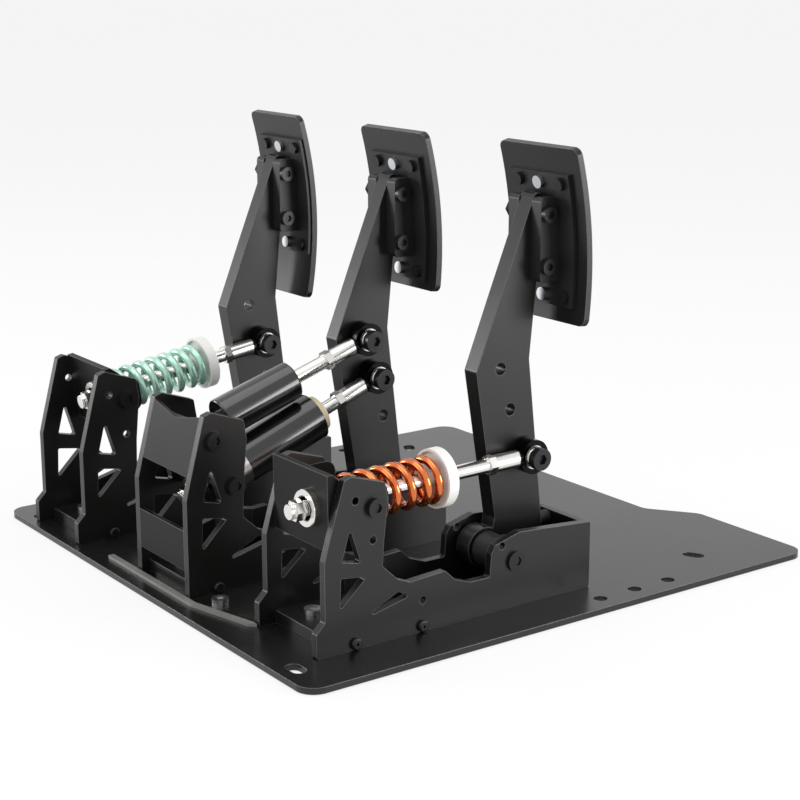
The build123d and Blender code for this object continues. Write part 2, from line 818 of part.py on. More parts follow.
def pivot_bush(x, pivot_y, side):
    """A flanged bush pressed into the arm's hub from one side."""
    face_x = x + (arm_near_x if side < 0 else arm_far_x)
    plane = Plane(origin=(face_x, pivot_y, pivot_z), x_dir=(0, 1, 0), z_dir=(side, 0, 0))
    with BuildPart() as piece:
        with BuildSketch(plane):
            Circle(bush_flange_r)
        extrude(amount=bush_flange_t)
        with BuildSketch(plane):
            Circle(bush_r)
        extrude(amount=side_gap - arm_t / 2)
        with BuildSketch(plane.offset(bush_flange_t)):
            Circle(axle_r + run_gap)
        extrude(amount=-arm_t, mode=Mode.SUBTRACT)
    return piece.part


frame_screws = []
spacers = []
pivot_bolts = []
stop_bars = []
bumpers = []
tower_bolts = []
sensors = []

# The three units share one build, apart from their towers, pads and struts
for name, (x, rear_y, tower_h, foot_d, pad_h, pin_z) in units.items():
    pivot_y = rear_y - pivot_u
    pin_y = rear_y - trunnion_u
    pins = [(pivot_y, pivot_z, axle_r), (pin_y, pin_z, trunnion_pin_r)]
    holes = tower_hole_shares
    if name == "brake":
        pins.append((rear_y - damper_pin_u, damper_pin_z, strut_pin_r))
        holes = []
    save(left_plate(x, rear_y, tower_h, foot_d, pins, holes), f"{name}_left_plate")
    save(right_plate(x, rear_y, tower_h, foot_d, pins, holes), f"{name}_right_plate")
    save(floor_plate(x, rear_y), f"{name}_floor_plate")
    for side, spot in ((-1, floor_screw_u1), (-1, floor_screw_u2), (1, floor_screw_u1)):
        frame_screws.append(side_screw(x + side * half_w, -side, rear_y - spot, floor_screw_z,
                                       floor_screw_grip))
    stop_bars.append(stop_bar(x, rear_y))
    bumpers.append(bumper(x, rear_y))
    pivot_bolts.append(cross_bolt(x - half_w, x + nose_x + plate_t, pivot_y, pivot_z, axle_r, axle_head_r,
                                  axle_head_t, nut_t))
    left_end = arm_near_x - bush_flange_t - side_gap
    right_end = arm_far_x + bush_flange_t + side_gap
    spacers.append(sleeve(x - inner_x, x + left_end, pivot_y, pivot_z, spacer_r, axle_r))
    spacers.append(sleeve(x + right_end, x + nose_x, pivot_y, pivot_z, spacer_r, axle_r))
    save(arm_plate(x, pivot_y), f"{name}_arm")
    save(joined([pivot_bush(x, pivot_y, -1), pivot_bush(x, pivot_y, 1)]), f"{name}_pivot_bushes")
    if name == "throttle":
        save(pad_plate(x, pivot_y, pad_h, throttle_pad_w, throttle_pad_shift), f"{name}_pad")
    else:
        save(pad_plate(x, pivot_y, pad_h, pad_w, 0), f"{name}_pad")
    save(pad_bracket(x, pivot_y), f"{name}_pad_bracket")
    fixings = [pad_screw(x + side_x, pivot_y, up) for side_x, up in pad_screw_spots]
    for up in (bracket_bolt_low_up, bracket_bolt_high_up):
        fixings.append(cross_bolt(x + arm_near_x - cheek_t, x + arm_far_x + cheek_t,
                                  pivot_y - bracket_bolt_fwd, pivot_z + up, bracket_bolt_r,
                                  bracket_bolt_head_r, bracket_bolt_head_t, bracket_bolt_head_t))
    save(joined(fixings), f"{name}_pad_fixings")
    reach = trunnion_block_grip if name == "brake" else yoke_t + side_gap
    tower_bolts.extend(trunnion_bolts(x, pin_y, pin_z, reach))
    if name != "brake":
        sensor_end = x - inner_x + sensor_t
        sensors.append(sleeve(x - inner_x, sensor_end, pivot_y, pivot_z, sensor_r, spacer_r))
        save(sleeve(sensor_end + magnet_gap, x + arm_near_x - bush_flange_t, pivot_y, pivot_z, magnet_r,
                    spacer_r + magnet_gap), f"{name}_sensor_magnet")


# Spring struts of the clutch and the throttle
strut_pins = {
    "clutch": (low_pin_fwd, low_pin_up, clutch_cup_start, clutch_coils, clutch_yoke_reach,
               clutch_rod_overrun),
    "throttle": (mid_pin_fwd, mid_pin_up, throttle_cup_start, throttle_coils, throttle_yoke_reach,
                 throttle_rod_overrun),
}
for name, (fwd, up, cup_start, coils, reach, rod_overrun) in strut_pins.items():
    x, rear_y, tower_h, foot_d, pad_h, pin_z = units[name]
    front = (rear_y - pivot_u - fwd, pivot_z + up)
    rear = (rear_y - trunnion_u, pin_z)
    span = math.hypot(rear[0] - front[0], rear[1] - front[1])
    plane = strut_plane(x + strut_x, front, rear)
    web = span + reach
    rod_stop = web + yoke_web_t + rod_overrun
    save(rod_end(plane), f"{name}_rod_end")
    save(joined([turned(plane, [(eye_r, rod_stop, rod_r)]),
                 hex_on(plane, rod_stop - 1.5 * end_nut_t, rod_stop - end_nut_t / 2, end_nut_r, rod_r)]),
         f"{name}_rod")
    rim_r = math.hypot(spring_r - wire_r, 2 * wire_r) + wire_r + soft_gap
    cup_end = cup_start + cup_disc_t
    with BuildPart() as cup:
        with BuildSketch(plane.offset(cup_start)):
            Circle(rim_r + cup_wall)
            Circle(rod_r, mode=Mode.SUBTRACT)
        extrude(amount=cup_disc_t)
        with BuildSketch(plane.offset(cup_end)):
            Circle(rim_r + cup_wall)
            Circle(rim_r, mode=Mode.SUBTRACT)
        extrude(amount=cup_rim_t)
    save(cup.part, f"{name}_spring_cup")
    save(spring(plane, cup_end + soft_gap, web - soft_gap, coils, name), f"{name}_spring")
    save(yoke(x, front, rear, reach), f"{name}_yoke")
    save(cross_bolt(x + strut_x - ball_w / 2, x + arm_far_x, front[0], front[1], strut_pin_r, strut_pin_head_r,
                    strut_pin_head_t, strut_pin_head_t), f"{name}_strut_bolt")


# Brake: the elastomer strut below
x, rear_y, tower_h, foot_d, pad_h, pin_z = units["brake"]
pivot_y = rear_y - pivot_u
front = (pivot_y - mid_pin_fwd, pivot_z + mid_pin_up)
rear = (rear_y - trunnion_u, pin_z)
span = math.hypot(rear[0] - front[0], rear[1] - front[1])
plane = strut_plane(x + strut_x, front, rear)
block_start = span - trunnion_block_l / 2
block_end = span + trunnion_block_l / 2
cell_start = block_start - load_cell_t
bore_r = rod_r + load_cell_gap
inner_r = tube_r - tube_wall
pad_r = inner_r - elastomer_gap
rod_stop = block_end + plunger_overrun
nut_start = rod_stop - 1.5 * end_nut_t
plunger_end = tube_start - elastomer_gap
save(rod_end(plane), "brake_plunger_rod_end")
save(joined([turned(plane, [(eye_r, plunger_end - plunger_t, rod_r),
                            (plunger_end - plunger_t, plunger_end, pad_r), (plunger_end, rod_stop, rod_r)]),
             turned(plane, [(nut_start - plunger_washer_t, nut_start, plunger_washer_r)], rod_r),
             hex_on(plane, nut_start, nut_start + end_nut_t, end_nut_r, rod_r)]),
     "brake_plunger")
save(turned(plane, [(tube_start, cell_start, tube_r)], inner_r), "brake_elastomer_tube")
stack_start = plunger_end + soft_gap
stack_l = cell_start - soft_gap - stack_start
piece_l = (stack_l - (elastomer_count - 1) * elastomer_washer_t) / elastomer_count
save(joined([turned(plane, [(stack_start + i * (piece_l + elastomer_washer_t),
                             stack_start + i * (piece_l + elastomer_washer_t) + piece_l, pad_r)], bore_r)
             for i in range(elastomer_count)]), "brake_elastomers")
save(joined([turned(plane, [(stack_start + (i + 1) * piece_l + i * elastomer_washer_t,
                             stack_start + (i + 1) * (piece_l + elastomer_washer_t), pad_r)], bore_r)
             for i in range(elastomer_count - 1)]), "brake_elastomer_washers")
save(turned(plane, [(cell_start, block_start, tube_r)], bore_r), "brake_load_cell")
block_plane = strut_plane(x, front, rear)
with BuildPart() as block:
    with BuildSketch(block_plane.offset(block_start)):
        Rectangle(2 * (inner_x - side_gap), trunnion_block_h)
        with Locations((strut_x, 0)):
            Circle(bore_r, mode=Mode.SUBTRACT)
    extrude(amount=trunnion_block_l)
    chamfer(block.edges().filter_by(Axis.X), trunnion_block_l / 6)
    for side in (-1, 1):
        with BuildSketch(Plane.YZ.offset(x + side * inner_x)):
            with Locations(rear):
                Circle(trunnion_pin_r + run_gap)
        extrude(amount=-side * (trunnion_block_grip + side_gap), mode=Mode.SUBTRACT)
save(block.part, "brake_trunnion_block")

# Brake: the damper above
front_high = (pivot_y - high_pin_fwd, pivot_z + high_pin_up)
rear_high = (rear_y - damper_pin_u, damper_pin_z)
span_high = math.hypot(rear_high[0] - front_high[0], rear_high[1] - front_high[1])
plane_high = strut_plane(x + strut_x, front_high, rear_high)
body_end = span_high - damper_tail
chamber_r = damper_r - damper_wall
piston_start = damper_start + damper_cap_t + piston_t
save(rod_end(plane_high), "brake_damper_rod_end")
save(turned(plane_high, [(eye_r, piston_start, rod_r),
                         (piston_start, piston_start + piston_t, chamber_r - piston_gap)]), "brake_damper_rod")
with BuildPart() as damper:
    with BuildSketch(plane_high.offset(damper_start)):
        Circle(damper_r)
    extrude(amount=body_end - damper_start)
    fillet(damper.edges().group_by(SortBy.LENGTH)[-1], damper_wall / 2)
    with BuildSketch(plane_high.offset(body_end)):
        Circle(neck_r)
    extrude(amount=damper_tail)
    with BuildSketch(Plane.YZ.offset(x + strut_x - damper_eye_w / 2)):
        with Locations(rear_high):
            Circle(damper_eye_r)
    extrude(amount=damper_eye_w)
    with BuildSketch(plane_high.offset(damper_start)):
        Circle(rod_r + damper_rod_gap)
    extrude(amount=damper_cap_t, mode=Mode.SUBTRACT)
    with BuildSketch(plane_high.offset(damper_start + damper_cap_t)):
        Circle(chamber_r)
    extrude(amount=body_end - damper_start - 2 * damper_cap_t, mode=Mode.SUBTRACT)
    with BuildSketch(Plane.YZ.offset(x + strut_x - damper_eye_w / 2)):
        with Locations(rear_high):
            Circle(strut_pin_r + run_gap)
    extrude(amount=damper_eye_w, mode=Mode.SUBTRACT)
save(damper.part, "brake_damper_body")
save(joined([cross_bolt(x + strut_x - ball_w / 2, x + arm_far_x, y, z, strut_pin_r, strut_pin_head_r,
                        strut_pin_head_t, strut_pin_head_t) for y, z in (front, front_high)]),
     "brake_strut_bolt")
tower_bolts.append(cross_bolt(x - half_w, x + half_w, rear_high[0], rear_high[1], strut_pin_r, trunnion_head_r,
                              trunnion_head_t, trunnion_head_t))
eye_left = x + strut_x - damper_eye_w / 2 - side_gap
eye_right = x + strut_x + damper_eye_w / 2 + side_gap
spacers.append(sleeve(x - inner_x, eye_left, rear_high[0], rear_high[1], damper_eye_r, strut_pin_r))
spacers.append(sleeve(eye_right, x + inner_x, rear_high[0], rear_high[1], damper_eye_r, strut_pin_r))

# Plates across the brake tower: a flat panel low down, a chevron-topped one along the slanted edge
with BuildPart() as panel:
    with BuildSketch(Plane.YZ.offset(x - inner_x)):
        with BuildLine():
            Polyline((rear_y - panel_t, panel_low_z), (rear_y, panel_low_z), (rear_y, panel_high_z),
                     (rear_y - panel_t, panel_high_z), close=True)
        make_face()
    extrude(amount=2 * inner_x)
save(panel.part, "brake_rear_panel")
low_edge = tower_shares[1]
high_edge = tower_shares[2]
low_spot = (rear_y - low_edge[0] * tower_d, base_t + low_edge[1] * tower_h)
high_spot = (rear_y - high_edge[0] * tower_d, base_t + high_edge[1] * tower_h)
edge_y = high_spot[0] - low_spot[0]
edge_z = high_spot[1] - low_spot[1]
edge_l = math.hypot(edge_y, edge_z)
edge_plane = Plane(origin=(x, low_spot[0], low_spot[1]), x_dir=(-1, 0, 0),
                   z_dir=(0, edge_z / edge_l, -edge_y / edge_l))
with BuildPart() as chevron:
    with BuildSketch(edge_plane):
        with BuildLine():
            Polyline((-inner_x, corner_r), (inner_x, corner_r), (inner_x, edge_l - corner_r),
                     (0, edge_l - corner_r - chevron_dip), (-inner_x, edge_l - corner_r), close=True)
        make_face()
    extrude(amount=-panel_t)
save(chevron.part, "brake_chevron_plate")

# Strip behind the brake unit, and the screws that hold the frame down
tie_front_y = brake_rear_y + tie_clear
tie_left_x = brake_x - half_w - tie_left_out
tie_right_x = brake_x + half_w + tie_right_out
tie_end_x = clutch_x + half_w
tie_end_y = clutch_rear_y + clutch_foot_d + tie_clear
with BuildPart() as tie:
    with BuildSketch(Plane.XY.offset(base_t)):
        with BuildLine():
            Polyline((tie_right_x, tie_front_y), (tie_left_x, tie_front_y), (tie_end_x, tie_end_y),
                     (tie_end_x - tie_w, tie_end_y), (tie_end_x, tie_end_y + tie_w),
                     (tie_left_x, tie_front_y + tie_w), (tie_right_x, tie_front_y + tie_w), close=True)
        make_face()
    extrude(amount=tie_t)
save(tie.part, "rear_tie_strip")
for spot_x, spot_y in floor_spots:
    frame_screws.append(base_screw(spot_x, spot_y, base_t + floor_t, base_screw_r, base_screw_head_r,
                                   base_screw_head_t))
for spot_x, spot_y in gap_spots:
    frame_screws.append(base_screw(spot_x, spot_y, base_t, base_screw_r, base_screw_head_r, base_screw_head_t))
save(joined(frame_screws), "frame_screws")
save(joined(spacers), "pivot_spacers")
save(joined(pivot_bolts), "pivot_bolts")
save(joined(stop_bars), "stop_bars")
save(joined(bumpers), "rest_bumpers")
save(joined(tower_bolts), "tower_bolts")
save(joined(sensors), "position_sensors")
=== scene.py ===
import json
import math

import bmesh
import bpy
from mathutils import Matrix, Vector


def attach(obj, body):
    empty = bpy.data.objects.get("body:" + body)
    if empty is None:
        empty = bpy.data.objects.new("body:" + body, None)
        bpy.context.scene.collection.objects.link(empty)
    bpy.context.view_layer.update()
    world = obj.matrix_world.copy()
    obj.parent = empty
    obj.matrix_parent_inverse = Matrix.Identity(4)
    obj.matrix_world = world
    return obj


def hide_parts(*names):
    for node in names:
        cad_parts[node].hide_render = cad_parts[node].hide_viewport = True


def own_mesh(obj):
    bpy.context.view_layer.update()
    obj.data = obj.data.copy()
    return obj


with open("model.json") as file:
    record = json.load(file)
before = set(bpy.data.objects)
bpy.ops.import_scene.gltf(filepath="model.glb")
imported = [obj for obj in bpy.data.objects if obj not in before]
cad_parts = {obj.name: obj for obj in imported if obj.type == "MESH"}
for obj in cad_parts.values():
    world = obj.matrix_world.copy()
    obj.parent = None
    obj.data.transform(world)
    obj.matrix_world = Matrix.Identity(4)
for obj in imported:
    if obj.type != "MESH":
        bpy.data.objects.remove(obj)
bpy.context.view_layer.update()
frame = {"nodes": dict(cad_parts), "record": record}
nodes = frame["nodes"]
body_of_node = {node: body for body, members in frame["record"]["behaviour"]["bodies"].items()
                for node in members}
MM = 0.001

# The camera stands behind the set and to its left, as the photograph's does
CAMERA_EYE = (-0.9552, 0.6817, 0.3979)
CAMERA_BACK = (-0.7860, 0.5660, 0.2480)
CAMERA_LENS = 79.26
SENSOR_W = 36.0
CLIP_START = 0.05
CLIP_END = 100

# The units' middles, clutch, brake and throttle, and the struts' place beside them, in millimetres
UNIT_X = (-132, -5, 131)
STRUT_X = -10.5
# Strut axes: side to side place, front pin and rear pin as (y, z), in millimetres
CLUTCH_STRUT = (UNIT_X[0] + STRUT_X, (-4, 90.5), (131, 88))
BRAKE_STRUT = (UNIT_X[1] + STRUT_X, (25, 120.5), (149, 72.5))
DAMPER_STRUT = (UNIT_X[1] + STRUT_X, (33, 147.5), (163.4, 104))
THROTTLE_STRUT = (UNIT_X[2] + STRUT_X, (29, 120.5), (153, 101))


def linear(hex_colour):
    """A hex sRGB colour as a linear RGBA tuple."""
    channels = [int(hex_colour[i:i + 2], 16) / 255 for i in (1, 3, 5)]
    return tuple(c / 12.92 if c <= 0.04045 else ((c + 0.055) / 1.055) ** 2.4 for c in channels) + (1.0,)


def add(tree, kind, settings=None, values=None, links=None):
    """A node of one kind with its settings, socket values and incoming links."""
    node = tree.nodes.new(kind)
    for key, value in (settings or {}).items():
        setattr(node, key, value)
    for key, value in (values or {}).items():
        node.inputs[key].default_value = value
    for key, source in (links or {}).items():
        tree.links.new(source, node.inputs[key])
    return node


# What the finishes share: noise detail, the broad pattern's size beside the fine one, the swing of
# roughness, the bump's strength, and the turn of the surface at rounded edges with the painted highlight's
# paler tone
GRAIN_DETAIL = 4.0
BROAD_DETAIL = 3.0
BROAD_SHARE = 40
ROUGH_SWING = 0.08
BUMP_STRENGTH = 0.5
EDGE_SAMPLES = 6
# The painted highlight along edges: its paler tone, the edge turns between which it is laid on, and its most
EDGE_HIGHLIGHT_TONE = "#83817d"
EDGE_HIGHLIGHT_FROM = 0.99
EDGE_HIGHLIGHT_TO = 0.85
EDGE_HIGHLIGHT_MOST = 0.8


def finish_of(name, colours, roughness, pattern_mm, metallic=0.0, ior=1.5, coat=0.0, coat_roughness=0.1,
              bump_mm=0.02, edge_mm=0.0, specular=0.5):
    """A finish: two close tones and a roughness swing in a broad noise, and a fine noise as its bump."""
    material = bpy.data.materials.new(name)
    material.use_nodes = True
    tree = material.node_tree
    tree.nodes.clear()
    place = add(tree, "ShaderNodeTexCoord")
    grain = add(tree, "ShaderNodeTexNoise", values={"Scale": 1 / (pattern_mm * MM), "Detail": GRAIN_DETAIL},
                links={"Vector": place.outputs["Object"]})
    broad = add(tree, "ShaderNodeTexNoise",
                values={"Scale": 1 / (pattern_mm * BROAD_SHARE * MM), "Detail": BROAD_DETAIL},
                links={"Vector": place.outputs["Object"]})
    tone = add(tree, "ShaderNodeMix", {"data_type": "RGBA"}, links={0: broad.outputs["Fac"]})
    tone.inputs[6].default_value = linear(colours[0])
    tone.inputs[7].default_value = linear(colours[1])
    colour = tone.outputs[2]
    worn = add(tree, "ShaderNodeMapRange", values={"To Min": roughness - ROUGH_SWING / 2,
                                                   "To Max": roughness + ROUGH_SWING / 2},
               links={"Value": broad.outputs["Fac"]})
    relief = add(tree, "ShaderNodeBump", values={"Strength": BUMP_STRENGTH, "Distance": bump_mm * MM},
                 links={"Height": grain.outputs["Fac"]})
    if edge_mm:
        # Cut edges rounded by tumbling, in the shading only, with a painted highlight: a paler tone laid
        # along them for the light they catch
        rim = add(tree, "ShaderNodeBevel", {"samples": EDGE_SAMPLES}, values={"Radius": edge_mm * MM})
        tree.links.new(rim.outputs["Normal"], relief.inputs["Normal"])
        flat = add(tree, "ShaderNodeNewGeometry")
        turn = add(tree, "ShaderNodeVectorMath", {"operation": "DOT_PRODUCT"},
                   links={0: rim.outputs["Normal"], 1: flat.outputs["True Normal"]})
        edge_highlight = add(tree, "ShaderNodeMapRange",
                     values={"From Min": EDGE_HIGHLIGHT_FROM, "From Max": EDGE_HIGHLIGHT_TO, "To Max": EDGE_HIGHLIGHT_MOST},
                     links={"Value": turn.outputs["Value"]})
        highlighted = add(tree, "ShaderNodeMix", {"data_type": "RGBA"},
                    links={0: edge_highlight.outputs["Result"], 6: colour})
        highlighted.inputs[7].default_value = linear(EDGE_HIGHLIGHT_TONE)
        colour = highlighted.outputs[2]
    surface = add(tree, "ShaderNodeBsdfPrincipled",
                  values={"Metallic": metallic, "IOR": ior, "Coat Weight": coat,
                          "Coat Roughness": coat_roughness, "Specular IOR Level": specular},
                  links={"Base Color": colour, "Roughness": worn.outputs["Result"],
                         "Normal": relief.outputs["Normal"]})
    add(tree, "ShaderNodeOutputMaterial", links={"Surface": surface.outputs["BSDF"]})
    return material


# Black polyester powder coat baked on laser-cut steel: satin, with a fine orange peel
powder_coat = finish_of("satin_black_powder_coat", ("#0f0e0e", "#161514"), 0.34, 1.4, bump_mm=0.03,
                        edge_mm=0.7, specular=0.4)
# The same coat on the big base plate, a little smoother where it was laid flat to bake
deck_coat = finish_of("base_plate_powder_coat", ("#111010", "#171616"), 0.27, 1.8, bump_mm=0.02, edge_mm=0.7)
# The same coat, duller, on the folded yokes and the plates across the brake's tower; its darker tones are
# painted shade, for the shade these parts sit in
shaded_panel_coat = finish_of("folded_panel_powder_coat_painted_shade", ("#0b0a0a", "#100f0f"), 0.42, 1.4, bump_mm=0.03,
                       edge_mm=0.7, specular=0.15)
# Black anodised aluminium, bead blasted first, so it is matt and even with a faint metal sheen
black_anodised = finish_of("bead_blasted_black_anodised_aluminium", ("#19191b", "#212123"), 0.42, 0.5,
                           metallic=0.25, bump_mm=0.015)
# Bright nickel plate on ground steel rods: nearly a mirror
bright_nickel = finish_of("bright_nickel_plated_steel", ("#d9d8d4", "#eceae6"), 0.2, 0.6, metallic=1.0,
                          bump_mm=0.008)
# Zinc-plated socket screws and nuts: cooler and duller than nickel
zinc_screw = finish_of("zinc_plated_screws", ("#b9bcc0", "#d2d4d6"), 0.3, 0.5, metallic=1.0, bump_mm=0.01)
# Bare aluminium strip, gone dull
bare_strip = finish_of("brushed_bare_aluminium", ("#8b8a87", "#a09f9b"), 0.45, 0.4, metallic=0.5,
                       bump_mm=0.01)
# Black oxide on bolts, thinly oiled: dark with a soft steel gleam
black_oxide = finish_of("oiled_black_oxide_steel", ("#232325", "#2f2f31"), 0.3, 0.4, metallic=0.6,
                        bump_mm=0.01)
# Clear orange lacquer over bright spring wire, so the metal shines through
orange_wire = finish_of("gloss_orange_spring_wire", ("#cf6224", "#e07c3a"), 0.16, 0.8, metallic=0.95,
                        coat=0.8, coat_roughness=0.05, bump_mm=0.02)
# Gloss mint green coat on spring wire, with a little metal flake
mint_wire = finish_of("gloss_mint_spring_wire", ("#a6d9c4", "#bfe7d6"), 0.2, 0.8, metallic=0.4,
                      coat=0.8, coat_roughness=0.05, bump_mm=0.02)
# White acetal turned on a lathe: smooth and slightly waxy
white_acetal = finish_of("turned_white_acetal", ("#e4e3df", "#f1f0ec"), 0.35, 0.5, ior=1.48, bump_mm=0.01)
# Cast polyurethane elastomer, cream, with a dull skin
cream_elastomer = finish_of("cast_cream_polyurethane", ("#d8cba6", "#e3d8b8"), 0.5, 1.0, bump_mm=0.03)
# Moulded black rubber of the rest stops
black_rubber = finish_of("moulded_black_rubber", ("#161616", "#1f1f1f"), 0.75, 0.4, bump_mm=0.03)
# Sintered bronze bushes: a porous warm metal
sintered_bronze = finish_of("sintered_bronze", ("#8d6a3f", "#a5804f"), 0.42, 0.3, metallic=1.0, bump_mm=0.03)
# Glass-filled nylon of the position sensors: matt with a sandy grain
filled_nylon = finish_of("glass_filled_black_nylon", ("#1a1a1b", "#242425"), 0.55, 0.35, bump_mm=0.03)
# Hard anodised and polished tube of the damper and of the elastomer strut
polished_tube = finish_of("polished_black_hard_anodised_tube", ("#0f0f10", "#171718"), 0.16, 0.9, coat=0.5,
                          coat_roughness=0.06, bump_mm=0.01)
# Stainless steel load cell, fine turned
stainless = finish_of("fine_turned_stainless_steel", ("#9c9b98", "#b7b6b3"), 0.28, 0.4, metallic=1.0,
                      bump_mm=0.01)

# Radii round a rod end's pin, in millimetres: the ball ends at the first pair, the eye at the second
BALL_EDGE = (7.5, 7.6)
EYE_EDGE = (12.0, 12.5)
EYE_TONE = "#1d1d1e"


def rod_end_finish(name, pin):
    """Black oxide round the eye, bright nickel on the neck and lock nut, and a bright ball in the middle."""
    material = finish_of(name, ("#d9d8d4", "#eceae6"), 0.24, 0.6, metallic=1.0, bump_mm=0.008)
    tree = material.node_tree
    surface = next(n for n in tree.nodes if n.type == "BSDF_PRINCIPLED")
    bright = surface.inputs["Base Color"].links[0].from_socket
    place = add(tree, "ShaderNodeTexCoord")
    away = add(tree, "ShaderNodeVectorMath", {"operation": "SUBTRACT"},
               links={0: place.outputs["Object"]})
    away.inputs[1].default_value = [c * MM for c in pin]
    across = add(tree, "ShaderNodeVectorMath", {"operation": "MULTIPLY"}, links={0: away.outputs["Vector"]})
    across.inputs[1].default_value = (0, 1, 1)
    reach = add(tree, "ShaderNodeVectorMath", {"operation": "LENGTH"}, links={0: across.outputs["Vector"]})
    inside = add(tree, "ShaderNodeMapRange",
                 values={"From Min": EYE_EDGE[1] * MM, "From Max": EYE_EDGE[0] * MM},
                 links={"Value": reach.outputs["Value"]})
    ball = add(tree, "ShaderNodeMapRange",
               values={"From Min": BALL_EDGE[0] * MM, "From Max": BALL_EDGE[1] * MM},
               links={"Value": reach.outputs["Value"]})
    eye = add(tree, "ShaderNodeMath", {"operation": "MULTIPLY"},
              links={0: inside.outputs["Result"], 1: ball.outputs["Result"]})
    colour = add(tree, "ShaderNodeMix", {"data_type": "RGBA"}, links={0: eye.outputs["Value"], 6: bright})
    colour.inputs[7].default_value = linear(EYE_TONE)
    tree.links.new(colour.outputs[2], surface.inputs["Base Color"])
    return material


def dress(obj, material):
    """One finish for a whole piece."""
    obj.data.materials.clear()
    obj.data.materials.append(material)


def finished(obj, node, material):
    """A piece that stands for a CAD node takes its finish and its body."""
    dress(obj, material)
    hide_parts(node)
    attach(obj, body_of_node[node])
    return obj


UNITS = ("clutch", "brake", "throttle")

# Every CAD node's finish
finishes = {
    "base_plate": deck_coat, "frame_screws": zinc_screw, "rear_tie_strip": bare_strip,
    "stop_bars": powder_coat, "rest_bumpers": black_rubber, "pivot_bolts": black_oxide,
    "pivot_spacers": black_anodised, "tower_bolts": black_oxide, "position_sensors": filled_nylon,
    "brake_rear_panel": shaded_panel_coat, "brake_chevron_plate": shaded_panel_coat, "brake_plunger": bright_nickel,
    "brake_load_cell": stainless, "brake_trunnion_block": black_anodised, "brake_damper_rod": bright_nickel,
    "brake_damper_body": polished_tube, "brake_elastomer_tube": polished_tube,
    "brake_elastomers": cream_elastomer, "brake_elastomer_washers": stainless,
    "clutch_rod": bright_nickel, "throttle_rod": bright_nickel,
    "clutch_spring_cup": white_acetal, "throttle_spring_cup": white_acetal,
    "clutch_spring": orange_wire, "throttle_spring": mint_wire,
    "clutch_yoke": shaded_panel_coat, "throttle_yoke": shaded_panel_coat,
    "clutch_sensor_magnet": filled_nylon, "throttle_sensor_magnet": filled_nylon,
}
for unit in UNITS:
    finishes.update({f"{unit}_left_plate": powder_coat, f"{unit}_right_plate": powder_coat,
                     f"{unit}_floor_plate": powder_coat, f"{unit}_arm": powder_coat,
                     f"{unit}_pivot_bushes": sintered_bronze, f"{unit}_pad": powder_coat,
                     f"{unit}_pad_bracket": black_anodised, f"{unit}_pad_fixings": zinc_screw,
                     f"{unit}_strut_bolt": black_oxide})
for node, (x, front, _) in {"clutch_rod_end": CLUTCH_STRUT, "throttle_rod_end": THROTTLE_STRUT,
                            "brake_plunger_rod_end": BRAKE_STRUT,
                            "brake_damper_rod_end": DAMPER_STRUT}.items():
    finishes[node] = rod_end_finish(node + "_black_eye_and_nickel_neck", (x, front[0], front[1]))
for node, material in finishes.items():
    dress(nodes[node], material)


def second_finish(node, material, chosen):
    """A second finish on the chosen faces of a CAD node, given their places in millimetres and normals."""
    mesh = nodes[node].data
    mesh.materials.append(material)
    for face in mesh.polygons:
        if chosen(face.center / MM, face.normal):
            face.material_index = 1


# The side screws, between these distances from their unit's middle, are black. The base plate's are plated
SIDE_NEAR = 20.0
SIDE_FAR = 38.0
second_finish("frame_screws", black_oxide,
              lambda spot, way: SIDE_NEAR < min(abs(spot.x - x) for x in UNIT_X) < SIDE_FAR)
# The pads' screws are black but for the rear end of each middle one, which shines
MIDDLE = 6.0
FACES_DRIVER = -0.5
for unit, x in zip(UNITS, UNIT_X):
    second_finish(f"{unit}_pad_fixings", black_oxide,
                  lambda spot, way, x=x: abs(spot.x - x) > MIDDLE or way.y < FACES_DRIVER)


def sweep_tree():
    """Geometry Nodes that run a round section along a line of edges."""
    tree = bpy.data.node_groups.new("wire_along_path", "GeometryNodeTree")
    tree.interface.new_socket("Path", in_out="INPUT", socket_type="NodeSocketGeometry")
    tree.interface.new_socket("Wire radius", in_out="INPUT", socket_type="NodeSocketFloat")
    tree.interface.new_socket("Sides", in_out="INPUT", socket_type="NodeSocketInt")
    tree.interface.new_socket("Finish", in_out="INPUT", socket_type="NodeSocketMaterial")
    tree.interface.new_socket("Wire", in_out="OUTPUT", socket_type="NodeSocketGeometry")
    given = add(tree, "NodeGroupInput")
    line = add(tree, "GeometryNodeMeshToCurve", links={"Mesh": given.outputs["Path"]})
    section = add(tree, "GeometryNodeCurvePrimitiveCircle",
                  links={"Resolution": given.outputs["Sides"], "Radius": given.outputs["Wire radius"]})
    wire = add(tree, "GeometryNodeCurveToMesh", values={"Fill Caps": True},
               links={"Curve": line.outputs["Curve"], "Profile Curve": section.outputs["Curve"]})
    smooth = add(tree, "GeometryNodeSetShadeSmooth", links={"Geometry": wire.outputs["Mesh"]})
    real = add(tree, "GeometryNodeRealizeInstances", links={"Geometry": smooth.outputs["Geometry"]})
    coated = add(tree, "GeometryNodeSetMaterial",
                 links={"Geometry": real.outputs["Geometry"], "Material": given.outputs["Finish"]})
    add(tree, "NodeGroupOutput", links={"Wire": coated.outputs["Geometry"]})
    return tree


wire_tree = sweep_tree()


def wire_piece(name, points, radius_mm, sides, material):
    """A round wire along points given in metres."""
    path = bpy.data.meshes.new(name)
    path.from_pydata([tuple(p) for p in points], [(i, i + 1) for i in range(len(points) - 1)], [])
    piece = bpy.data.objects.new(name, path)
    bpy.context.scene.collection.objects.link(piece)
    wound = piece.modifiers.new("wire", "NODES")
    wound.node_group = wire_tree
    sockets = {item.name: item.identifier for item in wire_tree.interface.items_tree
               if item.in_out == "INPUT"}
    wound[sockets["Wire radius"]] = radius_mm * MM
    wound[sockets["Sides"]] = sides
    wound[sockets["Finish"]] = material
    made = bpy.data.meshes.new_from_object(piece.evaluated_get(bpy.context.evaluated_depsgraph_get()))
    piece.modifiers.clear()
    piece.data = made
    dress(piece, material)
    return piece


